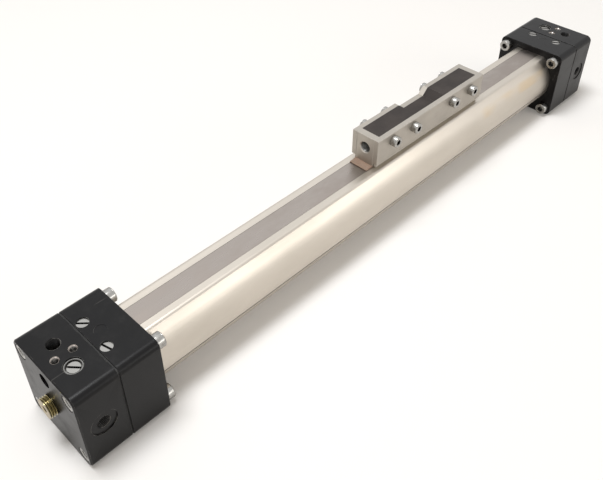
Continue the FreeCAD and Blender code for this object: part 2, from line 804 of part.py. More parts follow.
def wiper():
    """Felt wedge under the end plate that sweeps the outer band."""
    foot = outer_seat_height + band_thickness + wiper_band_gap
    top = carriage_bottom - end_plate_lift
    tip = carriage_half + wiper_reach
    start = core_half_length + core_gap
    half = core_half_width
    points = [V(start, -half, foot), V(tip, -half, foot), V(tip, -half, foot + wiper_tip_thickness),
              V(carriage_half, -half, top), V(start, -half, top), V(start, -half, foot)]
    return Part.Face(Part.makePolygon(points)).extrude(V(0, 2 * half, 0))


def slide_shoe(side):
    half = carriage_half - shoe_end_inset
    y = sorted((side * channel_half, side * (channel_half + shoe_width)))
    return block((-half, half), y, (barrel_top + shoe_gap, carriage_bottom))


# All pieces by name
pieces = {"barrel_tube": barrel_tube(),
          "outer_band": outer_band(),
          "inner_band": inner_band(),
          "brass_nipple": at_head(brass_nipple(), "near"),
          "piston_yoke": at_carriage(piston_yoke()),
          "yoke_dowels": at_carriage(yoke_dowels()),
          "carriage_core": at_carriage(carriage_core()),
          "right_side_plate": at_carriage(side_plate(-1, False)),
          "left_side_plate": at_carriage(side_plate(1, True)),
          "right_side_screws": at_carriage(side_screws(-1)),
          "left_side_screws": at_carriage(side_screws(1)),
          "right_slide_shoe": at_carriage(slide_shoe(-1)),
          "left_slide_shoe": at_carriage(slide_shoe(1))}

head_pieces = {"port_head": port_head(), "thread_bushes": thread_bushes(), "needle_sleeve": needle_sleeve(),
               "cushion_needle": cushion_needle(), "spigot": spigot(), "cushion_seal": cushion_seal(),
               "gasket": gasket(), "clamp_head": clamp_head(), "band_clamp_bar": band_clamp_bar(),
               "band_clamp_screws": band_clamp_screws(), "head_screws": head_screws(),
               "retaining_ring": retaining_ring()}

carriage_pieces = {"piston": piston(), "piston_seal": piston_seal(), "wear_ring": wear_ring(),
                   "cushion_nose": cushion_nose(), "end_plate": end_plate(), "wiper": wiper()}

for end in ("near", "far"):
    for name, shape in head_pieces.items():
        pieces[end + "_" + name] = at_head(shape, end)
    for name, shape in carriage_pieces.items():
        pieces[end + "_" + name] = at_carriage(shape, end)

os.makedirs("parts", exist_ok=True)
for name, shape in pieces.items():
    shape.exportStep("parts/" + name + ".step")
    print(name, len(shape.Solids), shape.isValid(), round(shape.Volume, 1))
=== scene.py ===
import json
import math
import random
import bmesh
import bpy
from mathutils import Matrix, Vector


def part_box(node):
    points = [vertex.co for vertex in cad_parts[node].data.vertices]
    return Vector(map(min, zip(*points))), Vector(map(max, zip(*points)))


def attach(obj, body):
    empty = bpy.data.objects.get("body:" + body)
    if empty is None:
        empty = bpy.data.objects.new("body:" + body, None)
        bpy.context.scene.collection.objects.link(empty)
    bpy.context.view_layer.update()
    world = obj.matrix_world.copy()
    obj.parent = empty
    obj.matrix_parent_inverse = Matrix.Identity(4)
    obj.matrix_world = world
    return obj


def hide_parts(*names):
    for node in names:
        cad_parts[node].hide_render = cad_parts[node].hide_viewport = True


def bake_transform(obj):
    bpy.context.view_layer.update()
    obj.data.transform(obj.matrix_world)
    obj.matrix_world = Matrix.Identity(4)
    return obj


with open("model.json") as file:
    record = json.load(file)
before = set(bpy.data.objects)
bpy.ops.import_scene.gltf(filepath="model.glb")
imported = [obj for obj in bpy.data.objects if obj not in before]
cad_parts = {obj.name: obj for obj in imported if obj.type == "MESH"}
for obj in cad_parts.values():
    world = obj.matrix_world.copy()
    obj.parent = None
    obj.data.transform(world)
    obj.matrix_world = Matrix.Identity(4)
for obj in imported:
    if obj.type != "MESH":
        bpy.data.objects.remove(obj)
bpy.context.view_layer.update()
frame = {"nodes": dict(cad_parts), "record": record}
print("frame loaded, nodes:", len(frame["nodes"]))

mm = 0.001
weld = 1e-6   # points nearer than this are one
random.seed(41)


# sums on shader sockets
class Wire:
    def __init__(self, finish, socket):
        self.finish = finish
        self.socket = socket

    def sum(self, operation, *values):
        return self.finish.add("ShaderNodeMath", {"operation": operation}, dict(enumerate(values)))

    def __add__(self, other):
        return self.sum("ADD", self, other)

    def __sub__(self, other):
        return self.sum("SUBTRACT", self, other)

    def __rsub__(self, other):
        return self.sum("SUBTRACT", other, self)

    def __mul__(self, other):
        return self.sum("MULTIPLY", self, other)

    __radd__ = __add__
    __rmul__ = __mul__


# one material, with its Principled shader and the nodes that feed it
class Finish:
    def __init__(self, name, plain):
        self.material = bpy.data.materials.new(name)
        self.material.use_nodes = True
        self.tree = self.material.node_tree
        self.shader = self.tree.nodes["Principled BSDF"]
        for socket, value in plain.items():
            self.shader.inputs[socket].default_value = value

    def add(self, kind, settings=None, sockets=None, out=0):
        made = self.tree.nodes.new(kind)
        for name, value in (settings or {}).items():
            setattr(made, name, value)
        for name, value in (sockets or {}).items():
            if isinstance(value, Wire):
                self.tree.links.new(value.socket, made.inputs[name])
            else:
                made.inputs[name].default_value = value
        return Wire(self, made.outputs[out])

    def place(self, stretch):
        where = self.add("ShaderNodeTexCoord", out="Object")
        return self.add("ShaderNodeMapping", {}, {"Vector": where, "Scale": stretch})

    def clouds(self, scale, detail, stretch=(1, 1, 1), rough=0.55):
        return self.add("ShaderNodeTexNoise", {}, {"Vector": self.place(stretch), "Scale": scale,
                                                   "Detail": detail, "Roughness": rough})

    def grains(self, scale, stretch):
        return self.add("ShaderNodeTexVoronoi", {}, {"Vector": self.place(stretch), "Scale": scale})

    def between(self, value, low, high):   # 0 below low, 1 above high
        return self.add("ShaderNodeMapRange", {"interpolation_type": "SMOOTHSTEP"},
                        {"Value": value, "From Min": low, "From Max": high})

    def mixed(self, amount, first, second):   # sockets 6 and 7 take colours, 2 gives the mixed one
        return self.add("ShaderNodeMix", {"data_type": "RGBA"}, {0: amount, 6: first, 7: second}, out=2)

    def edges(self, width):   # 1 on sharp edges, 0 on faces
        rounded = self.add("ShaderNodeBevel", {"samples": 6}, {"Radius": width})
        flat = self.add("ShaderNodeNewGeometry", out="Normal")
        same = self.add("ShaderNodeVectorMath", {"operation": "DOT_PRODUCT"}, {0: rounded, 1: flat},
                        out="Value")
        return 1 - same

    def dirt(self, reach, deep=0.25, unshaded=0.75):   # painted shade: 1 deep in nooks and holes, 0 in the open
        clear = self.add("ShaderNodeAmbientOcclusion", {"samples": 8, "only_local": True},
                         {"Distance": reach}, out="AO")
        return 1 - self.between(clear, deep, unshaded)

    def along(self, axis):   # place along X, Y or Z, in metres
        where = self.add("ShaderNodeTexCoord", out="Object")
        return self.add("ShaderNodeSeparateXYZ", {}, {"Vector": where}, out=axis)

    def strip(self, value, start, end, soft):   # 1 between two places, with soft sides
        return self.between(value, start, start + soft) * (1 - self.between(value, end - soft, end))

    def bump(self, height, strength, distance):
        return self.add("ShaderNodeBump", {}, {"Strength": strength, "Distance": distance, "Height": height})

    def drive(self, sockets):
        for name, wire in sockets.items():
            self.tree.links.new(wire.socket, self.shader.inputs[name])
        return self.material


def colour(red, green, blue):
    return (red, green, blue, 1)


# In the looks below a pattern is its scale, detail, stretch and roughness, or for specks scale and stretch.
# A Band is the two values that a mask rises between, a Share is how much of it shows, and a Rough is what it
# adds to the roughness. nookShadeColour is the painted shade's colour in nooks and holes, and nookShadeIn its
# reach in metres and its band. A relief is strength and depth.

# extruded barrel: fine lines along it, cloudy anodising, a few specks, a rubbed patch near the far head,
# and painted shade in its nooks
barrelLook = {"colour": colour(0.565, 0.515, 0.452),
              "dull": colour(0.50, 0.455, 0.395), "dullBand": (0.35, 0.7),
              "speck": colour(0.16, 0.13, 0.10), "speckBand": (0.03, 0.055), "speckShare": 0.8,
              "rubbed": colour(0.55, 0.41, 0.24), "rubbedBand": (0.34, 0.66), "rubbedShare": 0.5,
              "nookShadeColour": colour(0.04, 0.034, 0.028), "nookShadeIn": (0.0014, 0.3, 0.85), "nookShadeShare": 0.9,
              "lines": (420, 4, (0.012, 1, 1), 0.7), "clouds": (24, 4, (0.35, 1, 1)),
              "specks": (95, (0.8, 1, 1)), "few": (31, 2), "fewBand": (0.60, 0.66),
              "rubs": (85, 2, (0.35, 1, 1), 0.4),
              "patchX": (0.118, 0.226, 0.012), "patchZ": (0.0415, 0.0525, 0.003),   # start, end, softness
              "patchY": (-0.014, -0.012), "roughness": 0.28, "lineRough": 0.12, "cloudRough": 0.08,
              "rubbedRough": 0.1, "relief": (0.12, 0.0002)}


def barrelFinish():
    look = barrelLook
    finish = Finish("anodisedAluminium", {"Metallic": 1.0})
    lines = finish.clouds(*look["lines"])
    cloud = finish.clouds(*look["clouds"])
    specks = 1 - finish.between(finish.grains(*look["specks"]), *look["speckBand"])
    few = finish.between(finish.clouds(*look["few"]), *look["fewBand"])
    patch = finish.strip(finish.along("X"), *look["patchX"])
    patch = patch * finish.strip(finish.along("Z"), *look["patchZ"])
    patch = patch * (1 - finish.between(finish.along("Y"), *look["patchY"]))   # on the front flank only
    rubbed = patch * finish.between(finish.clouds(*look["rubs"]), *look["rubbedBand"])
    shade = finish.mixed(finish.between(cloud, *look["dullBand"]), look["colour"], look["dull"])
    shade = finish.mixed(rubbed * look["rubbedShare"], shade, look["rubbed"])
    shade = finish.mixed(specks * few * look["speckShare"], shade, look["speck"])
    # painted shade: darker in the barrel's nooks
    shade = finish.mixed(finish.dirt(*look["nookShadeIn"]) * look["nookShadeShare"], shade, look["nookShadeColour"])
    roughness = look["roughness"] + lines * look["lineRough"] + cloud * look["cloudRough"]
    return finish.drive({"Base Color": shade, "Roughness": roughness + rubbed * look["rubbedRough"],
                         "Normal": finish.bump(lines, *look["relief"])})


# milled side and end plates, with painted shade in their nooks
plateLook = {"colour": colour(0.42, 0.385, 0.34),
             "dull": colour(0.37, 0.34, 0.30), "dullBand": (0.3, 0.75),
             "edge": colour(0.55, 0.53, 0.49), "edgeWidth": 0.0006, "edgeBand": (0.02, 0.12),
             "edgeShare": 0.35,
             "nookShadeColour": colour(0.10, 0.09, 0.08), "nookShadeIn": (0.003,), "nookShadeShare": 0.75,
             "milling": (900, 3, (0.05, 1, 1), 0.6), "clouds": (55, 4),
             "roughness": 0.42, "millRough": 0.12, "wornSmooth": 0.08, "relief": (0.15, 0.0001)}


def plateFinish():
    look = plateLook
    finish = Finish("milledAluminium", {"Metallic": 1.0})
    mill = finish.clouds(*look["milling"])
    cloud = finish.clouds(*look["clouds"])
    worn = finish.between(finish.edges(look["edgeWidth"]), *look["edgeBand"])
    shade = finish.mixed(finish.between(cloud, *look["dullBand"]), look["colour"], look["dull"])
    shade = finish.mixed(worn * look["edgeShare"], shade, look["edge"])
    # painted shade: darker in the plates' nooks and holes
    shade = finish.mixed(finish.dirt(*look["nookShadeIn"]) * look["nookShadeShare"], shade, look["nookShadeColour"])
    roughness = look["roughness"] + mill * look["millRough"] - worn * look["wornSmooth"]
    return finish.drive({"Base Color": shade, "Roughness": roughness,
                         "Normal": finish.bump(mill, *look["relief"])})


# black heads: satin paint, worn on the edges, with dust and hair-thin scratches
headLook = {"colour": colour(0.004, 0.0037, 0.0039), "shine": 0.20,
            "dust": colour(0.016, 0.015, 0.0145), "dustBand": (0.45, 0.8), "dustShare": 0.45,
            "bare": colour(0.26, 0.25, 0.235), "scratchBand": (0.70, 0.74), "scratchShare": 0.18,
            "edgeWidth": 0.0007, "patchyBand": (0.42, 0.62), "wornBand": (0.05, 0.16), "wornShare": 0.55,
            "peel": (1500, 2), "dusty": (60, 5, (1, 1, 1), 0.7), "scratches": (240, 2, (0.06, 1, 0.35)),
            "patchy": (130, 4), "roughness": 0.30, "dustRough": 0.12, "peelRough": 0.05,
            "relief": (0.08, 0.0001)}


def headFinish():
    look = headLook
    finish = Finish("blackHead", {"Specular IOR Level": look["shine"]})
    peel = finish.clouds(*look["peel"])
    dust = finish.between(finish.clouds(*look["dusty"]), *look["dustBand"])
    scratch = finish.between(finish.clouds(*look["scratches"]), *look["scratchBand"])
    patchy = finish.between(finish.clouds(*look["patchy"]), *look["patchyBand"])
    worn = finish.between(finish.edges(look["edgeWidth"]) * patchy, *look["wornBand"])
    shade = finish.mixed(dust * look["dustShare"], look["colour"], look["dust"])
    shade = finish.mixed(scratch * look["scratchShare"], shade, look["bare"])
    shade = finish.mixed(worn * look["wornShare"], shade, look["bare"])
    roughness = look["roughness"] + dust * look["dustRough"] + peel * look["peelRough"]
    return finish.drive({"Base Color": shade, "Roughness": roughness,
                         "Normal": finish.bump(peel, *look["relief"])})


# carriage core: matt dark block
coreLook = {"colour": colour(0.029, 0.0235, 0.0215), "shine": 0.25,
            "light": colour(0.044, 0.036, 0.0325), "lightBand": (0.3, 0.7),
            "edge": colour(0.25, 0.23, 0.21), "edgeWidth": 0.0005, "edgeBand": (0.03, 0.14),
            "edgeShare": 0.35, "grain": (700, 3), "clouds": (70, 4), "roughness": 0.58, "grainRough": 0.1,
            "relief": (0.12, 0.0001)}


def coreFinish():
    look = coreLook
    finish = Finish("darkCore", {"Specular IOR Level": look["shine"]})
    grain = finish.clouds(*look["grain"])
    cloud = finish.clouds(*look["clouds"])
    worn = finish.between(finish.edges(look["edgeWidth"]), *look["edgeBand"])
    shade = finish.mixed(finish.between(cloud, *look["lightBand"]), look["colour"], look["light"])
    shade = finish.mixed(worn * look["edgeShare"], shade, look["edge"])
    return finish.drive({"Base Color": shade, "Roughness": look["roughness"] + grain * look["grainRough"],
                         "Normal": finish.bump(grain, *look["relief"])})


# sealing band: rolled strip with soft blotches of grease
bandLook = {"colour": colour(0.35, 0.31, 0.28),
            "blotch": colour(0.30, 0.262, 0.235), "blotchBand": (0.38, 0.68),
            "lines": (900, 3, (0.008, 1, 1), 0.7), "blotches": (62, 4, (0.5, 1, 1)),
            "roughness": 0.22, "blotchRough": 0.14, "lineRough": 0.08, "relief": (0.10, 0.0001)}


def bandFinish():
    look = bandLook
    finish = Finish("bandSteel", {"Metallic": 1.0})
    lines = finish.clouds(*look["lines"])
    blotch = finish.between(finish.clouds(*look["blotches"]), *look["blotchBand"])
    shade = finish.mixed(blotch, look["colour"], look["blotch"])
    roughness = look["roughness"] + blotch * look["blotchRough"] + lines * look["lineRough"]
    return finish.drive({"Base Color": shade, "Roughness": roughness,
                         "Normal": finish.bump(lines, *look["relief"])})


# small steel parts: bright zinc on screws and bushes, oiled steel on threads and the needles' sleeves,
# both with painted shade in sockets, wells and knurls
zincLook = {"name": "zincSteel", "colour": colour(0.38, 0.37, 0.35),
            "stain": colour(0.23, 0.22, 0.20), "stains": (420, 4), "stainBand": (0.45, 0.78),
            "stainShare": 0.7,
            "nookShadeColour": colour(0.012, 0.011, 0.01), "nookShadeIn": (0.004, 0.35, 0.8), "nookShadeShare": 0.95,
            "roughness": 0.24, "stainRough": 0.15, "skin": (2200, 2), "relief": (0.10, 0.0001)}
oiledLook = {"name": "oiledSteel", "colour": colour(0.23, 0.225, 0.215),
             "stain": colour(0.13, 0.125, 0.115), "stains": (480, 4), "stainBand": (0.4, 0.75),
             "stainShare": 1,
             "nookShadeColour": colour(0.02, 0.018, 0.016), "nookShadeIn": (0.002,), "nookShadeShare": 0.9,
             "roughness": 0.30, "stainRough": 0.12, "skin": (2200, 2), "relief": (0.08, 0.0001)}


def steelFinish(look):
    finish = Finish(look["name"], {"Metallic": 1.0})
    stain = finish.between(finish.clouds(*look["stains"]), *look["stainBand"])
    shade = finish.mixed(stain * look["stainShare"], look["colour"], look["stain"])
    # painted shade: darker deep in sockets, wells and between ridges
    shade = finish.mixed(finish.dirt(*look["nookShadeIn"]) * look["nookShadeShare"], shade, look["nookShadeColour"])
    return finish.drive({"Base Color": shade, "Roughness": look["roughness"] + stain * look["stainRough"],
                         "Normal": finish.bump(finish.clouds(*look["skin"]), *look["relief"])})


# brass nipple: olive on its threads, dull and pale on its end, with painted shade between its ridges
brassLook = {"colour": colour(0.35, 0.295, 0.15),
             "dull": colour(0.19, 0.158, 0.082), "dullBand": (0.4, 0.75), "dullShare": 0.8,
             "end": colour(0.44, 0.375, 0.27), "endBand": (0.00005, 0.0002), "endShare": 0.9,
             "nookShadeColour": colour(0.05, 0.04, 0.02), "nookShadeIn": (0.003,), "nookShadeShare": 0.9,
             "stains": (520, 4), "skin": (2500, 2),
             "roughness": 0.18, "stainRough": 0.12, "endRough": 0.2, "relief": (0.08, 0.0001)}


def brassFinish():
    look = brassLook
    finish = Finish("turnedBrass", {"Metallic": 1.0})
    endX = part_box("brass_nipple")[0].x
    stain = finish.between(finish.clouds(*look["stains"]), *look["dullBand"])
    end = 1 - finish.between(finish.along("X"), *[endX + depth for depth in look["endBand"]])
    shade = finish.mixed(stain * look["dullShare"], look["colour"], look["dull"])
    shade = finish.mixed(end * look["endShare"], shade, look["end"])
    # painted shade: darker in the nipple's nooks
    shade = finish.mixed(finish.dirt(*look["nookShadeIn"]) * look["nookShadeShare"], shade, look["nookShadeColour"])
    roughness = look["roughness"] + stain * look["stainRough"] + end * look["endRough"]
    return finish.drive({"Base Color": shade, "Roughness": roughness,
                         "Normal": finish.bump(finish.clouds(*look["skin"]), *look["relief"])})


# rubber and plastics; the slide shoes are pale, as the gap under the side plates is in the photograph,
# and made paler still as painted light against the shade in that gap
rubberLook = {"name": "blackRubber", "colour": colour(0.018, 0.018, 0.018),
              "light": colour(0.035, 0.034, 0.033), "grain": (1100, 3), "roughness": 0.62, "grainRough": 0.2,
              "relief": (0.2, 0.0001)}
plasticLook = {"name": "blackPlastic", "colour": colour(0.05, 0.048, 0.046),
               "light": colour(0.08, 0.076, 0.072), "grain": (800, 3), "roughness": 0.42, "grainRough": 0.15,
               "relief": (0.15, 0.0001)}
shoeLook = {"name": "shoePlastic", "colour": colour(0.62, 0.59, 0.53), "light": colour(0.52, 0.49, 0.44),
            "lightBand": (0.3, 0.7), "grain": (700, 3), "roughness": 0.45, "grainRough": 0.15,
            "relief": (0.12, 0.0001)}


def mouldedFinish(look):
    finish = Finish(look["name"], {})
    grain = finish.clouds(*look["grain"])
    spots = finish.between(grain, *look["lightBand"]) if "lightBand" in look else grain
    shade = finish.mixed(spots, look["colour"], look["light"])
    return finish.drive({"Base Color": shade, "Roughness": look["roughness"] + grain * look["grainRough"],
                         "Normal": finish.bump(grain, *look["relief"])})


feltLook = {"colour": colour(0.295, 0.195, 0.137),
            "dark": colour(0.175, 0.108, 0.073), "darkBand": (0.35, 0.7),
            "soil": colour(0.25, 0.185, 0.145), "soilBand": (0.4, 0.7), "soilShare": 0.5,
            "fibres": (1700, 6, (0.5, 1, 1), 0.75), "soils": (240, 4), "sheen": 0.25, "sheenRoughness": 0.6,
            "roughness": 0.88, "fibreRough": 0.1, "relief": (0.7, 0.0004)}


def feltFinish():
    look = feltLook
    finish = Finish("felt", {"Sheen Weight": look["sheen"], "Sheen Roughness": look["sheenRoughness"]})
    fibre = finish.clouds(*look["fibres"])
    soil = finish.between(finish.clouds(*look["soils"]), *look["soilBand"])
    shade = finish.mixed(finish.between(fibre, *look["darkBand"]), look["colour"], look["dark"])
    shade = finish.mixed(soil * look["soilShare"], shade, look["soil"])
    return finish.drive({"Base Color": shade, "Roughness": look["roughness"] + fibre * look["fibreRough"],
                         "Normal": finish.bump(fibre, *look["relief"])})


finishes = {"anodised_aluminium": barrelFinish(), "milled_aluminium": plateFinish(),
            "black_head": headFinish(), "dark_core": coreFinish(), "band_steel": bandFinish(),
            "zinc_steel": steelFinish(zincLook), "brass": brassFinish(),
            "black_rubber": mouldedFinish(rubberLook), "black_plastic": mouldedFinish(plasticLook),
            "felt": feltFinish()}
greyPlastic = mouldedFinish(shoeLook)
oiledSteel = steelFinish(oiledLook)
zincSteel = finishes["zinc_steel"]
blackPaint = finishes["black_head"]
print("finishes made:", len(finishes))


def dress(piece, material):
    piece.data.materials.clear()
    piece.data.materials.append(material)


for part in frame["record"]["subparts"]:
    dress(frame["nodes"][part["node"]], finishes[part["material_slot"]])
# the shoes' pale colour is partly painted light, lifting the shade under the side plates
for side in ("right", "left"):
    dress(frame["nodes"][side + "_slide_shoe"], greyPlastic)


# modelling by hand: start clean, shape in edit mode, leave the object at the origin
def startClean():
    if bpy.context.object and bpy.context.object.mode != "OBJECT":
        bpy.ops.object.mode_set(mode="OBJECT")
    bpy.ops.object.select_all(action="DESELECT")


def useOnly(piece):
    startClean()
    piece.select_set(True)
    bpy.context.view_layer.objects.active = piece


def editAll():
    bpy.ops.object.mode_set(mode="EDIT")
    bpy.ops.mesh.select_all(action="SELECT")


def pick(kind, test):   # selects the edit mesh's verts or edges that pass
    bpy.ops.mesh.select_mode(type={"verts": "VERT", "edges": "EDGE"}[kind])
    bpy.ops.mesh.select_all(action="DESELECT")
    shape = bmesh.from_edit_mesh(bpy.context.object.data)
    for item in getattr(shape, kind):
        item.select_set(bool(test(item)))
    bmesh.update_edit_mesh(bpy.context.object.data)


def freeze():   # puts the active object's place, turn and size into its mesh
    bpy.ops.object.transform_apply(location=True, rotation=True, scale=True)


def rename(piece, name):
    piece.name = name
    piece.data.name = name
    return piece


def settle(piece, name, smoothAngle):
    useOnly(piece)
    freeze()
    editAll()
    bpy.ops.mesh.remove_doubles(threshold=weld)
    bpy.ops.mesh.normals_make_consistent(inside=False)
    bpy.ops.object.mode_set(mode="OBJECT")
    bpy.ops.object.shade_smooth_by_angle(angle=math.radians(smoothAngle))
    return rename(piece, name)


def applied(piece, kind, settings):
    useOnly(piece)
    modifier = piece.modifiers.new(kind.title(), kind)
    for name, value in settings.items():
        setattr(modifier, name, value)
    bpy.ops.object.modifier_apply(modifier=modifier.name)


def stand(piece, where, direction):   # stands a piece made along +Z at a point, with its +Z along a direction
    turn = Vector((0, 0, 1)).rotation_difference(Vector(direction)).to_matrix().to_4x4()
    piece.matrix_world = Matrix.Translation(Vector(where)) @ turn
    useOnly(piece)
    freeze()
    return piece


def copyOf(piece, name):
    useOnly(piece)
    bpy.ops.object.duplicate(linked=False)
    return rename(bpy.context.object, name)


def joined(pieces, name):
    startClean()
    for piece in pieces:
        piece.select_set(True)
    bpy.context.view_layer.objects.active = pieces[0]
    if len(pieces) > 1:
        bpy.ops.object.join()
    return rename(bpy.context.object, name)


def discard(piece):
    useOnly(piece)
    bpy.ops.object.delete()


def block(where, size, turn=0):   # a box to cut with or shape further
    startClean()
    bpy.ops.mesh.primitive_cube_add(size=1, location=where, rotation=(0, 0, math.radians(turn)))
    made = bpy.context.object
    made.scale = size
    freeze()
    return made


def cutWith(piece, key, operation):   # a key is used once
    applied(piece, "BOOLEAN", {"object": key, "operation": operation, "solver": "EXACT"})
    discard(key)
    return piece


# lathe work: a ring along Z, extruded and scaled from one (height, radius) in mm to the next
def turned(profile, sides, closing):
    startClean()
    height, radius = profile[0]
    fill = "NGON" if closing == "caps" else "NOTHING"
    bpy.ops.mesh.primitive_circle_add(vertices=sides, radius=radius * mm, fill_type=fill,
                                      location=(0, 0, height * mm))
    piece = bpy.context.object
    editAll()
    for (lastHeight, lastRadius), (height, radius) in zip(profile, profile[1:]):
        rise = (0, 0, (height - lastHeight) * mm)
        bpy.ops.mesh.extrude_region_move(TRANSFORM_OT_translate={"value": rise})
        grow = radius / lastRadius
        if grow != 1:
            bpy.ops.transform.resize(value=(grow, grow, 1), center_override=(0, 0, height * mm))
    if closing == "ring":
        pick("edges", lambda edge: edge.is_boundary)
        bpy.ops.mesh.bridge_edge_loops()
    bpy.ops.object.mode_set(mode="OBJECT")
    freeze()
    return piece


# shares of the pitch at which a thread leaves its root, meets its crest, leaves it and is at its root again
threadTurn = (0.06, 0.44, 0.56, 0.94)


def threadSteps(start, end, root, crest, pitch):
    steps = []
    way = math.copysign(pitch, end - start)
    radii = (root, crest, crest, root)
    for turn in range(int(abs(end - start) / pitch)):
        base = start + turn * way
        steps += [(base + share * way, radius) for share, radius in zip(threadTurn, radii)]
    return steps


# all sizes of the pieces below are in mm and all angles in degrees

# air nipple in the near end face
nippleLook = {"reach": 5.0, "inside": 10.5, "bore": 2.2, "shank": 6.53, "root": 6.3, "crest": 7.0,
              "pitch": 1.5, "face": 6.8, "neck": (-0.4, -0.2), "threadEnd": 0.4, "leadIn": 0.25,
              "mouth": 0.3, "sides": 56}


def makeNipple():
    look = nippleLook
    low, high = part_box("brass_nipple")
    centre = (low.x + look["reach"] * mm, (low.y + high.y) / 2, (low.z + high.z) / 2)
    reach = look["reach"]
    neckStart, neckEnd = look["neck"]
    profile = [(-look["inside"], look["bore"]), (-look["inside"], look["shank"]), (neckStart, look["shank"]),
               (neckEnd, look["root"])]
    profile += threadSteps(0.0, reach - look["threadEnd"], look["root"], look["crest"], look["pitch"])
    profile += [(reach - look["leadIn"], look["root"]), (reach, look["face"]),
                (reach, look["bore"] + look["mouth"]), (reach - look["mouth"], look["bore"])]
    piece = turned(profile, look["sides"], "ring")
    stand(piece, centre, (-1, 0, 0))
    settle(piece, "brassNipple", smoothAngle=28)
    dress(piece, finishes["brass"])
    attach(piece, "barrel")
    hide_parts("brass_nipple")


makeNipple()
print("nipple turned")


# sleeves round the cushion needles: a rim, and a well between it and the needle's head
sleeveLook = {"outer": 5.75, "length": 8.0, "edge": 0.3, "rim": 4.8, "rimEdge": 0.1, "well": 2.2,
              "bore": 3.95, "floor": 1.0, "stem": 2.05, "sides": 64}


def makeSleeve(end):
    look = sleeveLook
    low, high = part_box(end + "_needle_sleeve")
    foot = -look["length"]
    rim, rimEdge = look["rim"], look["rimEdge"]
    floor = foot + look["floor"]
    profile = [(foot, look["stem"]), (floor, look["stem"]), (floor, look["bore"]),
               (-look["well"], look["bore"]), (-look["well"], rim), (-rimEdge, rim), (0, rim + rimEdge),
               (0, look["outer"] - look["edge"]), (-look["edge"], look["outer"]), (foot, look["outer"])]
    piece = turned(profile, look["sides"], "ring")
    stand(piece, ((low.x + high.x) / 2, (low.y + high.y) / 2, high.z), (0, 0, 1))
    settle(piece, end + "NeedleSleeve", smoothAngle=28)
    dress(piece, oiledSteel)
    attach(piece, "barrel")
    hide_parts(end + "_needle_sleeve")


for end in ("near", "far"):
    makeSleeve(end)
print("sleeves turned")


# cap screws with knurled heads and hexagon sockets; head and shank are radii, socket is across its flats
capScrews = {"corner": {"head": 5.0, "height": 6.0, "shank": 3.0, "chamfer": 0.45, "socket": 5.0,
                        "socketDepth": 3.0, "ridges": 48, "ridgeDepth": 0.07, "knurlFoot": 0.5,
                        "knurlTop": 5.2},
             "side": {"head": 4.25, "height": 5.0, "shank": 2.5, "chamfer": 0.4, "socket": 4.0,
                      "socketDepth": 2.5, "ridges": 42, "ridgeDepth": 0.06, "knurlFoot": 0.4,
                      "knurlTop": 4.3}}
# shared by both: footShare is where the foot's chamfer ends, as a share of knurlFoot
screwLook = {"foot": 0.25, "footShare": 0.4, "knurlRunOut": 0.12, "levelSlack": 0.01, "keyLength": 8.0,
             "sidePitch": 25.0}


def makeCapScrew(look, shankLength):
    head = look["head"] - look["ridgeDepth"]
    knurlFoot, knurlTop = look["knurlFoot"], look["knurlTop"]
    slack = screwLook["levelSlack"]
    profile = [(-shankLength, look["shank"]), (0, look["shank"]), (0, head - screwLook["foot"]),
               (knurlFoot * screwLook["footShare"], head), (knurlFoot, head), (knurlTop, head),
               (knurlTop + screwLook["knurlRunOut"], head),
               (look["height"] - look["chamfer"], look["head"]),
               (look["height"], look["head"] - look["chamfer"])]
    piece = turned(profile, 2 * look["ridges"], "caps")

    def onRidge(vertex):   # every second point round the knurled part
        place = vertex.co
        level = knurlFoot - slack < place.z / mm < knurlTop + slack
        step = math.atan2(place.y, place.x) * look["ridges"] / math.pi
        return level and round(step) % 2 == 0

    editAll()
    pick("verts", onRidge)
    grow = look["head"] / head
    bpy.ops.transform.resize(value=(grow, grow, 1), center_override=(0, 0, 0))
    startClean()
    keyLength = screwLook["keyLength"]
    middle = look["height"] - look["socketDepth"] + keyLength / 2
    bpy.ops.mesh.primitive_cylinder_add(vertices=6, radius=look["socket"] / math.sqrt(3) * mm,
                                        depth=keyLength * mm, location=(0, 0, middle * mm))
    return cutWith(piece, bpy.context.object, "DIFFERENCE")


def screwSpots(node, kind):   # screw axes, from the outer corners of the node's box
    low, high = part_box(node)
    radius = capScrews[kind]["head"] * mm
    if kind == "corner":
        return [(0, y, z) for y in (low.y + radius, high.y - radius)
                for z in (low.z + radius, high.z - radius)]
    middle = (low.z + high.z) / 2
    pitch = screwLook["sidePitch"] * mm
    ends = (low.x + radius, high.x - radius)
    return [(x, 0, middle) for x in (ends[0], ends[0] + pitch, ends[1] - pitch, ends[1])]


# each group stands in for a node and rides on a body, with its heads along a direction
def screwGroup(node, body, kind, direction, name):
    look = capScrews[kind]
    axis = 0 if direction[0] else 1
    low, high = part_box(node)
    out = direction[axis]
    tip, top = (low[axis], high[axis]) if out > 0 else (high[axis], low[axis])
    seat = top - out * look["height"] * mm
    first = makeCapScrew(look, abs(seat - tip) / mm)
    pieces = []
    for count, spot in enumerate(screwSpots(node, kind)):
        screw = copyOf(first, name + str(count))
        spin = Matrix.Rotation(random.uniform(0, math.pi / 3), 4, "Z")
        screw.data.transform(spin)
        where = list(spot)
        where[axis] = seat
        pieces.append(stand(screw, where, direction))
    discard(first)
    group = settle(joined(pieces, name), name, smoothAngle=30)
    dress(group, zincSteel)
    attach(group, body)
    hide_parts(node)


screwGroup("near_head_screws", "barrel", "corner", (1, 0, 0), "nearHeadScrews")
screwGroup("far_head_screws", "barrel", "corner", (-1, 0, 0), "farHeadScrews")
screwGroup("right_side_screws", "carriage", "side", (0, -1, 0), "rightSideScrews")
screwGroup("left_side_screws", "carriage", "side", (0, 1, 0), "leftSideScrews")
print("cap screws placed: 16")


# slotted screws of the far band clamp; turns are the slots' directions in degrees, right screw first
clampLook = {"spacing": 24.4, "sink": 0.3, "chamfer": 0.3, "slot": 1.9, "slotDepth": 2.0,
             "turns": (-60.0, -56.0), "sides": 40}


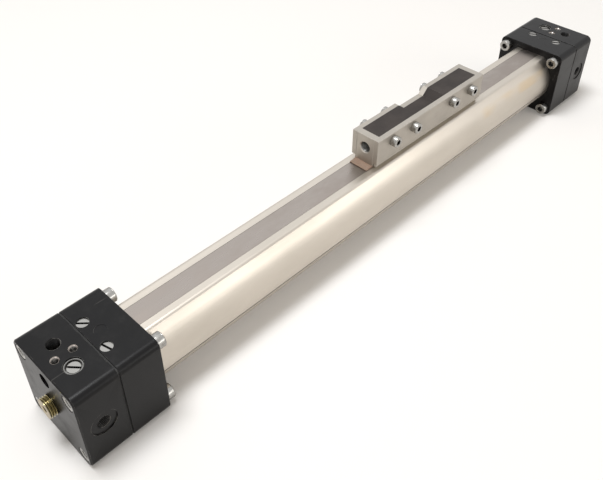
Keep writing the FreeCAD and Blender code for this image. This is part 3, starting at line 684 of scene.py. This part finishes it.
def makeClampScrews():
    look = clampLook
    low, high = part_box("far_band_clamp_screws")
    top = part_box("far_clamp_head")[1].z - look["sink"] * mm
    radius = (high.x - low.x) / 2 / mm
    chamfer = look["chamfer"]
    pieces = []
    for side, turn in zip((-1, 1), look["turns"]):
        profile = [((low.z - top) / mm, radius), (-chamfer, radius), (0, radius - chamfer)]
        screw = turned(profile, look["sides"], "caps")
        size = (4 * radius * mm, look["slot"] * mm, 2 * look["slotDepth"] * mm)   # it runs past the head
        slot = block((0, 0, 0), size, turn)
        cutWith(screw, slot, "DIFFERENCE")
        where = ((low.x + high.x) / 2, side * look["spacing"] / 2 * mm, top)
        pieces.append(stand(screw, where, (0, 0, 1)))
    group = settle(joined(pieces, "farClampScrews"), "farClampScrews", smoothAngle=28)
    dress(group, zincSteel)
    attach(group, "barrel")
    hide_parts("far_band_clamp_screws")


makeClampScrews()
print("clamp screws slotted")


# heads: their corners are rounder in the photograph than in the CAD; chamfers are those of a head's two ends
headLooks = {"near_port_head": {"name": "nearPortHead", "chamfers": (0.8, 0.25)},
             "near_clamp_head": {"name": "nearClampHead", "chamfers": (0.25, 0.25)},
             "far_clamp_head": {"name": "farClampHead", "chamfers": (0.25, 0.25)},
             "far_port_head": {"name": "farPortHead", "chamfers": (0.25, 0.8)}}
cornerRadius = 5.0
cornerSteps = 10
keySlack = 0.01   # keeps the key clear of the head's flat faces


def makeHead(node):
    look = headLooks[node]
    low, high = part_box(node)
    piece = copyOf(frame["nodes"][node], look["name"])
    bpy.ops.mesh.customdata_custom_splitnormals_clear()
    editAll()
    bpy.ops.mesh.remove_doubles(threshold=weld)
    key = block((low + high) / 2, high - low + Vector((2, 2, 2)) * keySlack * mm)
    editAll()
    pick("edges", lambda edge: abs(edge.verts[0].co.x - edge.verts[1].co.x) > mm)
    bpy.ops.mesh.bevel(offset=cornerRadius * mm, segments=cornerSteps)
    for x, chamfer in zip((low.x - keySlack * mm, high.x + keySlack * mm), look["chamfers"]):
        pick("edges", lambda edge: all(abs(vertex.co.x - x) < weld for vertex in edge.verts))
        bpy.ops.mesh.bevel(offset=chamfer * mm, segments=1)
    bpy.ops.object.mode_set(mode="OBJECT")
    cutWith(piece, key, "INTERSECT")
    settle(piece, look["name"], smoothAngle=28)
    applied(piece, "WEIGHTED_NORMAL", {"keep_sharp": True, "weight": 100})
    dress(piece, blackPaint)
    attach(piece, "barrel")
    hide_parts(node)


for node in headLooks:
    makeHead(node)
print("heads rounded")


# threads in the ports and small holes: closed liners just inside the CAD hole
liners = {"port": {"radius": 4.4, "depth": 0.32, "length": 9.0, "pitch": 0.95, "sides": 44},
          "small": {"radius": 2.1, "depth": 0.2, "length": 6.0, "pitch": 0.8, "sides": 32},
          "load": {"radius": 4.25, "depth": 0.36, "length": 12.0, "pitch": 1.5, "sides": 44},
          "axial": {"radius": 6.6, "depth": 0.4, "length": 9.5, "pitch": 1.34, "sides": 56}}
# shared by all: the gap is between the liner and the CAD hole, and a Start is a height below the mouth
linerLook = {"gap": 0.02, "wall": 0.12, "foot": 0.1, "wallStart": -0.15, "rootStart": -0.25,
             "turnStart": -0.3}


def makeLiner(look):   # its mouth is at Z 0
    wall = look["radius"] - linerLook["gap"]
    root = wall - linerLook["wall"]
    foot = -look["length"]
    profile = [(linerLook["rootStart"], root)]
    profile += threadSteps(linerLook["turnStart"], foot, root, root - look["depth"], look["pitch"])
    profile += [(foot, wall - linerLook["foot"]), (foot, wall), (linerLook["wallStart"], wall)]
    return turned(profile, look["sides"], "ring")


# bright rim laid in the cone over a small thread
rimLook = {"radius": 2.04, "rise": 0.6, "wall": 0.07, "sides": 40}


def makeRim():
    look = rimLook
    radius, rise, wall = look["radius"], look["rise"], look["wall"]
    profile = [(0, radius), (rise, radius + rise), (rise, radius + rise + wall), (0, radius + wall)]
    return turned(profile, look["sides"], "ring")


# corner bush: its face, chamfers and thread, with room for the head screw's end behind
bushLook = {"radius": 5.2, "sink": 0.25, "chamfer": 0.45, "root": 2.85, "crest": 2.5, "pitch": 1.0,
            "threadLead": 0.2, "threadEnd": 0.6, "cone": 0.45, "freeThread": 8.0, "length": 14.0,
            "screwRoom": 3.06, "mouth": 3.3, "sides": 48}


def makeBush(rise):   # Z 0 is where the CAD bush ends, and rise is how much longer this one is
    look = bushLook
    start, foot = -look["freeThread"], -look["length"]
    profile = [(foot, look["screwRoom"]), (start, look["screwRoom"]), (start, look["crest"])]
    profile += threadSteps(start + look["threadLead"], rise - look["threadEnd"], look["root"], look["crest"],
                           look["pitch"])
    profile += [(rise - look["cone"], look["root"]), (rise, look["mouth"]),
                (rise, look["radius"] - look["chamfer"]), (rise - look["chamfer"], look["radius"]),
                (foot, look["radius"])]
    return turned(profile, look["sides"], "ring")


# copies of one turned piece, each at its mouth, joined and dressed
def turnedGroup(first, mouths, name, body, finish):
    pieces = [stand(copyOf(first, name + str(count)), where, direction)
              for count, (where, direction) in enumerate(mouths)]
    discard(first)
    group = settle(joined(pieces, name), name, smoothAngle=28)
    dress(group, finish)
    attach(group, body)
    return group


mounts = {mount["name"]: mount for mount in frame["record"]["mounts"]}


def mouthOf(name, depth):   # a point on a mount's axis, at the depth where its thread starts
    mount = mounts[name]
    where = Vector(mount["pos_m"])
    axis = Vector(mount["axis"])
    return where + axis * (depth - where.dot(axis)), tuple(axis)


mouthSinks = {"port": 0.7, "small": 0.8, "load": 0.7}   # from the face to where the thread starts


def makePortThreads(end):
    low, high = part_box(end + "_port_head")
    sink = mouthSinks["port"] * mm
    mouths = [mouthOf(end + "_right_port", -low.y - sink), mouthOf(end + "_left_port", high.y - sink),
              mouthOf(end + "_top_port", high.z)]
    turnedGroup(makeLiner(liners["port"]), mouths, end + "PortThreads", "barrel", blackPaint)


def makeSmallThreads(end):
    line = mounts[end + "_top_threads"]
    half = line["dims"]["spacing_x_mm"] / 2 * mm
    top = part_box(end + "_port_head")[1].z - mouthSinks["small"] * mm
    mouths = [((line["pos_m"][0] + side * half, 0, top), (0, 0, 1)) for side in (-1, 1)]
    turnedGroup(makeLiner(liners["small"]), mouths, end + "SmallThreads", "barrel", oiledSteel)
    turnedGroup(makeRim(), mouths, end + "SmallRims", "barrel", finishes["band_steel"])


def makeBushes(end, out):
    node = end + "_thread_bushes"
    low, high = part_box(node)
    face = low.x if out < 0 else high.x
    headLow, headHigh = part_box(end + "_port_head")
    headFace = headLow.x if out < 0 else headHigh.x
    radius = bushLook["radius"] * mm
    corners = [((face, y, z), (out, 0, 0)) for y in (low.y + radius, high.y - radius)
               for z in (low.z + radius, high.z - radius)]
    rise = abs(headFace - face) / mm - bushLook["sink"]
    bushes = turnedGroup(makeBush(rise), corners, end + "ThreadBushes", "barrel", zincSteel)
    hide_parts(node)


def makeLoadThread(end, out):
    centre = mouthOf("carriage_" + end + "_thread", 0)[0]
    low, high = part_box(end + "_end_plate")
    face = low.x if out < 0 else high.x
    mouths = [((face - out * mouthSinks["load"] * mm, centre.y, centre.z), (out, 0, 0))]
    turnedGroup(makeLiner(liners["load"]), mouths, end + "LoadThread", "carriage", oiledSteel)


for end, out in (("near", -1), ("far", 1)):
    makePortThreads(end)
    makeSmallThreads(end)
    makeBushes(end, out)
    makeLoadThread(end, out)
turnedGroup(makeLiner(liners["axial"]), [mouthOf("far_axial_port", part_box("far_port_head")[1].x)],
            "farAxialThread", "barrel", blackPaint)
print("threads cut")


# sealing bands: each band in two halves that bend between the head and the moving carriage;
# run is the length of its slope, and still the length, from the carriage's middle, that keeps its shape
bandShapes = {"outer_band": {"name": "outerBand", "way": 1, "run": 34.0, "still": 74.6},
              "inner_band": {"name": "innerBand", "way": -1, "run": 21.5, "still": 100.0}}
bandThickness = 0.4
yokeHalf = 27.0
bendSteps = 9


def carriageMiddle():
    low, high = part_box("carriage_core")
    return (low.x + high.x) / 2


def liftAt(run, lift, distance):   # height of the band at this distance from the carriage's middle
    share = (distance - yokeHalf) / run
    if share <= 0:
        return lift
    if share >= 1:
        return 0.0
    height = abs(lift)
    bend = (run ** 2 + height ** 2) / (4 * height)   # radius of the slope's two arcs
    along = share * run
    if share < 0.5:
        fall = bend - math.sqrt(bend ** 2 - along ** 2)
    else:
        fall = height - bend + math.sqrt(bend ** 2 - (run - along) ** 2)
    return math.copysign(height - fall, lift)


def makeBandHalf(node, end, out):
    look = bandShapes[node]
    low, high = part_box(node)
    lift = look["way"] * ((high.z - low.z) / mm - bandThickness)
    seat = low.z if look["way"] > 0 else high.z - bandThickness * mm
    run = look["run"]
    middle = carriageMiddle()
    endX = low.x if out < 0 else high.x
    stillX = middle + out * look["still"] * mm
    distances = [yokeHalf + run - run * step / bendSteps for step in range(bendSteps + 1)]
    stations = [(endX, 0.0), (stillX, 0.0)]
    stations += [(middle + out * distance * mm, liftAt(run, lift, distance) * mm) for distance in distances]
    stations.append((middle, lift * mm))
    startClean()
    start = (endX, 0, seat + bandThickness / 2 * mm)
    bpy.ops.mesh.primitive_plane_add(size=1, location=start, rotation=(0, math.pi / 2, 0))
    piece = bpy.context.object
    piece.scale = (bandThickness * mm, high.y - low.y, 1)
    freeze()
    editAll()
    for (lastX, lastZ), (x, z) in zip(stations, stations[1:]):
        bpy.ops.mesh.extrude_region_move(TRANSFORM_OT_translate={"value": (x - lastX, 0, z - lastZ)})
    bpy.ops.object.mode_set(mode="OBJECT")
    settle(piece, look["name"] + end.title(), smoothAngle=40)
    dress(piece, finishes["band_steel"])
    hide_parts(node)
    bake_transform(piece)


for node in bandShapes:
    for end, out in (("near", -1), ("far", 1)):
        makeBandHalf(node, end, out)
print("bands laid")


# felt wipers: cut as wedges, then roughened; fuzz is how far a point strays
wiperLook = {"tip": 0.6, "cuts": 14, "fuzz": 0.07, "even": 0.2, "outward": 0.6, "seed": 7}


def makeWiper(end, out):
    look = wiperLook
    low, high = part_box(end + "_wiper")
    plateLow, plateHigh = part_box(end + "_end_plate")
    slopeX = plateLow.x if out < 0 else plateHigh.x
    tipX = low.x if out < 0 else high.x
    middle = (low + high) / 2
    piece = block(middle, high - low)
    editAll()
    bpy.ops.mesh.bisect(plane_co=(slopeX, 0, 0), plane_no=(1, 0, 0))
    pick("verts", lambda vertex: abs(vertex.co.x - tipX) < weld and vertex.co.z > middle.z)
    bpy.ops.transform.translate(value=(0, 0, low.z + look["tip"] * mm - high.z))
    bpy.ops.mesh.select_all(action="SELECT")
    bpy.ops.mesh.subdivide(number_cuts=look["cuts"])
    bpy.ops.transform.vertex_random(offset=look["fuzz"] * mm, uniform=look["even"], normal=look["outward"],
                                    seed=look["seed"] + out)
    bpy.ops.object.mode_set(mode="OBJECT")
    settle(piece, end + "FeltWiper", smoothAngle=60)
    dress(piece, finishes["felt"])
    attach(piece, "carriage")
    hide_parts(end + "_wiper")


for end, out in (("near", -1), ("far", 1)):
    makeWiper(end, out)
print("wipers cut")


# pale floor, which shows a little of its own glow to the camera and in reflections; lengths in metres
floorLook = {"size": 6, "height": -0.0003, "colour": colour(0.90, 0.885, 0.87), "roughness": 0.7,
             "shine": 0.1, "glow": colour(1.0, 0.995, 0.99), "glowStrength": 1.0, "glowShare": 0.1}
seenRays = ("Is Camera Ray", "Is Glossy Ray", "Is Transmission Ray")


def makeFloor():
    look = floorLook
    startClean()
    bpy.ops.mesh.primitive_plane_add(size=look["size"], location=(0, 0, look["height"]))
    floor = bpy.context.object
    floor.name = "paleFloor"
    finish = Finish("paleFloor", {"Base Color": look["colour"], "Roughness": look["roughness"],
                                  "Specular IOR Level": look["shine"]})
    glow = finish.add("ShaderNodeEmission", {}, {"Color": look["glow"], "Strength": look["glowStrength"]})
    camera, glossy, through = [finish.add("ShaderNodeLightPath", out=name) for name in seenRays]
    seen = camera.sum("MAXIMUM", camera, glossy.sum("MAXIMUM", glossy, through))
    paint = Wire(finish, finish.shader.outputs[0])
    lit = finish.add("ShaderNodeMixShader", {}, {0: seen * look["glowShare"], 1: paint, 2: glow})
    finish.tree.links.new(lit.socket, finish.tree.nodes["Material Output"].inputs["Surface"])
    dress(floor, finish.material)


# the world: soft warm light on the object, plain white where it is seen
worldLook = {"soft": colour(1.0, 0.90, 0.76), "softStrength": 0.32,
             "seen": colour(1, 1, 1), "seenStrength": 1.0}


def makeWorld():
    look = worldLook
    world = bpy.data.worlds.new("studio")
    bpy.context.scene.world = world
    world.use_nodes = True
    tree = world.node_tree
    tree.nodes.clear()
    out = tree.nodes.new("ShaderNodeOutputWorld")
    mix = tree.nodes.new("ShaderNodeMixShader")
    for socket, kind in ((1, "soft"), (2, "seen")):
        background = tree.nodes.new("ShaderNodeBackground")
        background.inputs["Color"].default_value = look[kind]
        background.inputs["Strength"].default_value = look[kind + "Strength"]
        tree.links.new(background.outputs[0], mix.inputs[socket])
    path = tree.nodes.new("ShaderNodeLightPath")
    largest = path.outputs[seenRays[0]]
    for name in seenRays[1:]:
        either = tree.nodes.new("ShaderNodeMath")
        either.operation = "MAXIMUM"
        tree.links.new(largest, either.inputs[0])
        tree.links.new(path.outputs[name], either.inputs[1])
        largest = either.outputs[0]
    tree.links.new(largest, mix.inputs[0])
    tree.links.new(mix.outputs[0], out.inputs["Surface"])


# place, aim and size in metres, power in watts
lamps = {"ceiling": {"place": (-0.3, 0.25, 2.0), "aim": (0.0, 0.0, 0.0), "size": (0.7, 0.7), "power": 34.0,
                     "tint": (0.97, 0.985, 1.0)},
         "behind": {"place": (0.65, 0.85, 1.15), "aim": (-0.1, 0.0, 0.03), "size": (1.3, 1.1), "power": 1.3,
                    "tint": (0.82, 0.91, 1.0)},
         "window": {"place": (0.52, -1.2, 0.43), "aim": (0.05, 0.0, 0.04), "size": (1.0, 0.45), "power": 3.7,
                    "tint": (1.0, 0.985, 0.95)},
         "front": {"place": (-1.5, -0.5, 0.9), "aim": (-0.2, 0.0, 0.0), "size": (0.9, 0.6), "power": 2.0,
                   "tint": (1.0, 0.99, 0.98)}}


def makeLamps():
    for name, look in lamps.items():
        data = bpy.data.lights.new(name, "AREA")
        data.shape = "RECTANGLE"
        data.size, data.size_y = look["size"]
        data.energy = look["power"]
        data.color = look["tint"]
        lamp = bpy.data.objects.new(name, data)
        bpy.context.scene.collection.objects.link(lamp)
        lamp.location = look["place"]
        lamp.rotation_euler = (Vector(look["aim"]) - lamp.location).to_track_quat("-Z", "Y").to_euler()


cameraLook = {"place": (-0.359795, -0.273957, 0.393244), "turn": (51.3384, -0.1248, -45.7055),
              "lens": 43.8985, "sensor": 36, "shift": -0.0995, "clip": (0.01, 20)}


def makeCamera():
    look = cameraLook
    data = bpy.data.cameras.new("photoCamera")
    camera = bpy.data.objects.new("photoCamera", data)
    bpy.context.scene.collection.objects.link(camera)
    camera.location = look["place"]
    camera.rotation_euler = [math.radians(angle) for angle in look["turn"]]
    data.sensor_width = look["sensor"]
    data.lens = look["lens"]
    data.shift_y = look["shift"]
    data.clip_start, data.clip_end = look["clip"]
    bpy.context.scene.camera = camera


makeFloor()
makeWorld()
makeLamps()
makeCamera()
bpy.context.scene.view_settings.view_transform = "Standard"
print("studio set")
